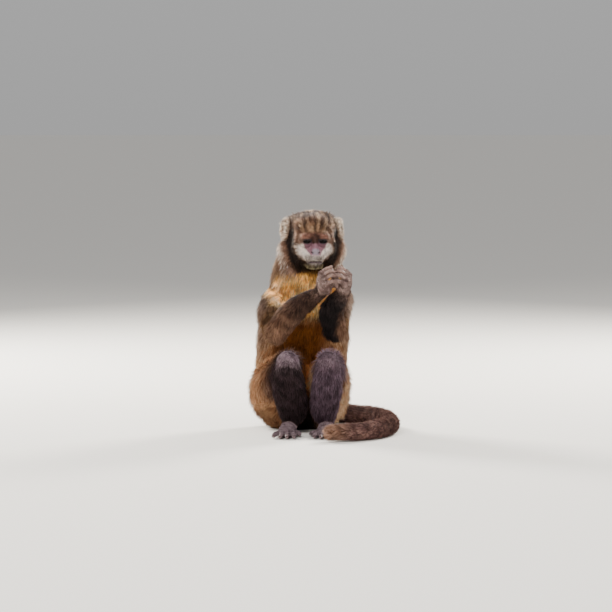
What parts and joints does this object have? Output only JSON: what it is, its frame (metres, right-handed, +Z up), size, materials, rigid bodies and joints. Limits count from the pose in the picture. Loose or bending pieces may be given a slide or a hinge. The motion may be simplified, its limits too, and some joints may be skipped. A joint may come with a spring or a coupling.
{
  "type": "capuchin monkey",
  "caption": "Life-size still model of a yellow-breasted capuchin sitting upright, knees drawn up, both hands held together below its mouth, tail laid round beside its foot.",
  "frame": {"origin": "on the ground under the middle of the rump, on the flat that the animal sits on", "axes": "+Z up, the animal faces -Y turned a little towards +X, and +X is towards its left side"},
  "size_m": [0.2305, 0.2884, 0.3406],
  "materials": {
    "coat_dark": "glossy dark brown fur",
    "coat_brown": "brindled brown fur",
    "coat_gold": "golden fur",
    "coat_belly": "deep orange-brown fur",
    "skin": "bare creased skin",
    "eye": "wet glossy eye"
  },
  "bodies": {
    "root": {"eye_left": "eye", "eye_right": "eye", "head": "coat_brown", "ear_left": "skin", "ear_right": "skin", "hand_left": "skin", "hand_right": "skin", "foot_left": "skin", "foot_right": "skin", "forearm_left": "coat_dark", "forearm_right": "coat_dark", "shin_left": "coat_dark", "shin_right": "coat_dark", "upper_arm_left": "coat_gold", "upper_arm_right": "coat_gold", "thigh_left": "coat_brown", "thigh_right": "coat_brown", "rump": "coat_brown", "belly": "coat_belly", "chest": "coat_gold", "neck": "coat_gold", "tail_base": "coat_dark", "tail_second": "coat_dark", "tail_third": "coat_dark", "tail_tip": "coat_dark"}
  },
  "joints": []
}
